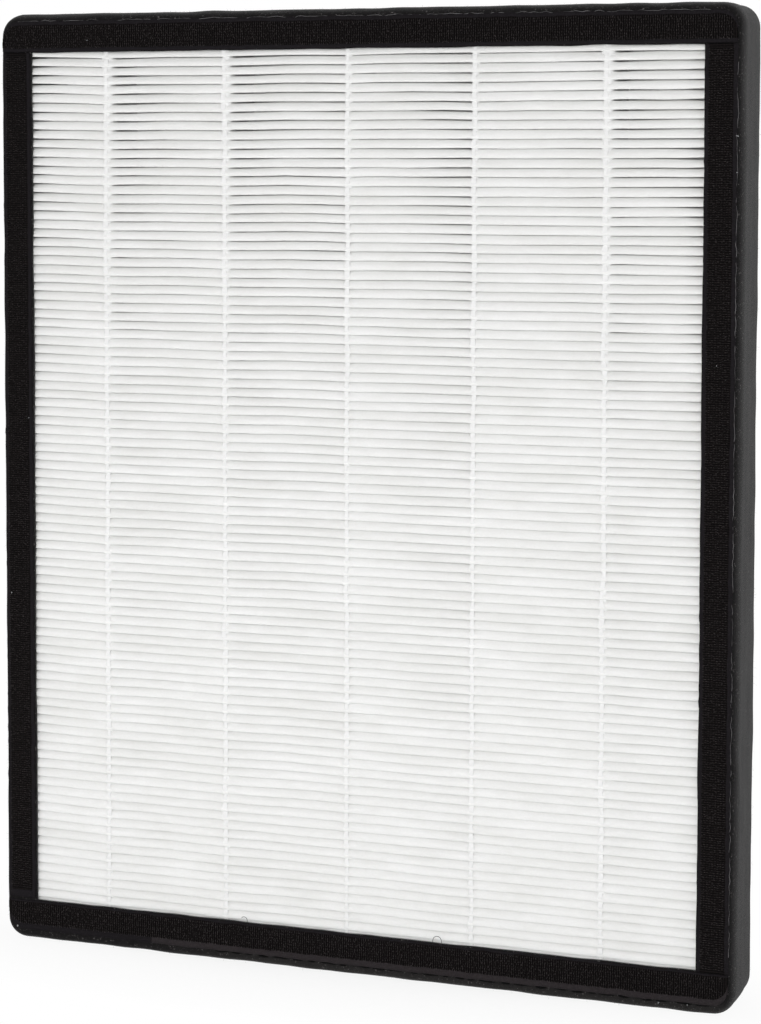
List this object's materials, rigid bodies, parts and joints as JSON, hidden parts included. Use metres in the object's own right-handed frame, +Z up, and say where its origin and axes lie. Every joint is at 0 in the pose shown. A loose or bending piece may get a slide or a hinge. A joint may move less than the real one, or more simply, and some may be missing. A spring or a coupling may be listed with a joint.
{
  "type": "air purifier filter",
  "caption": "Rectangular pleated air filter panel: white folded media in a black felt frame with rounded corners, and hook-and-loop strips round the front window.",
  "frame": {"origin": "middle of the bottom edge's underside, centred on the width and on the depth with the strips", "axes": "+Z up along the height, +X along the width to the right as seen from the front, -Y out of the front face that carries the hook-and-loop strips"},
  "size_m": [0.3256, 0.0336, 0.405],
  "materials": {
    "frame_felt": "pressed black felt, matt, with short fibres",
    "filter_media": "off-white nonwoven filter felt, matt",
    "seal_adhesive": "cured milky adhesive",
    "hot_melt": "white hot-melt, slightly waxy",
    "fastener_tape": "black woven hook-and-loop tape with plain selvedges"
  },
  "bodies": {
    "root": {"frame_shell": "frame_felt", "back_ring": "frame_felt", "pleated_media": "filter_media", "potting_seal": "seal_adhesive", "front_glue_bead_1": "hot_melt", "rear_glue_bead_1": "hot_melt", "front_glue_bead_2": "hot_melt", "rear_glue_bead_2": "hot_melt", "front_glue_bead_3": "hot_melt", "rear_glue_bead_3": "hot_melt", "front_glue_bead_4": "hot_melt", "rear_glue_bead_4": "hot_melt", "front_glue_bead_5": "hot_melt", "rear_glue_bead_5": "hot_melt", "top_fastener_tape": "fastener_tape", "bottom_fastener_tape": "fastener_tape", "left_fastener_tape": "fastener_tape", "right_fastener_tape": "fastener_tape"}
  },
  "joints": []
}
